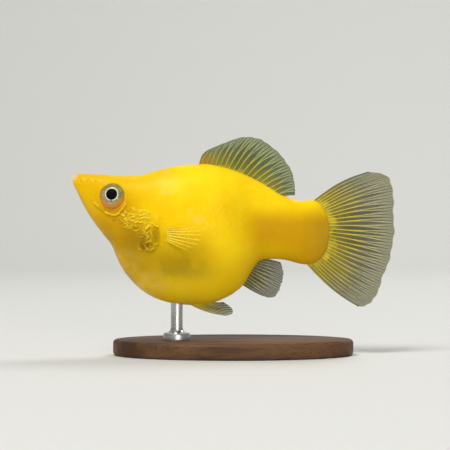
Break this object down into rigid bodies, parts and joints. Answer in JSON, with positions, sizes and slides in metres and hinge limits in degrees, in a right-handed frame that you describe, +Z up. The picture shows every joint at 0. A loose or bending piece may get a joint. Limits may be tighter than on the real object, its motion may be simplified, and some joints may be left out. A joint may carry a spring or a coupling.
{
  "type": "sailfin molly model",
  "caption": "Life-size model of a gold sailfin molly with a round belly, clear fanned fins and a fan tail, held by a rod on an oval base",
  "frame": {"origin": "centre of the stand's underside, on the floor", "axes": "-X the way the fish faces, -Y its left flank, which the picture shows, +Z up"},
  "size_m": [0.0806, 0.036, 0.0546],
  "materials": {
    "gold_skin": "wet, scaled fish skin, glossy golden yellow",
    "eye": "clear, silvery iris round a black pupil",
    "fin_membrane": "thin, see-through olive yellow web with golden rays",
    "walnut": "satin",
    "steel": "satin"
  },
  "bodies": {
    "root": {"head": "gold_skin", "lower_jaw": "gold_skin", "gill_cover_left": "gold_skin", "gill_cover_right": "gold_skin", "trunk": "gold_skin", "tail_stalk": "gold_skin", "eye_left": "eye", "eye_right": "eye", "dorsal_fin": "fin_membrane", "tail_fin": "fin_membrane", "anal_fin": "fin_membrane", "pelvic_fin_left": "fin_membrane", "pelvic_fin_right": "fin_membrane", "pectoral_fin_left": "fin_membrane", "pectoral_fin_right": "fin_membrane", "stand_base": "walnut", "stand_rod": "steel"}
  },
  "joints": []
}
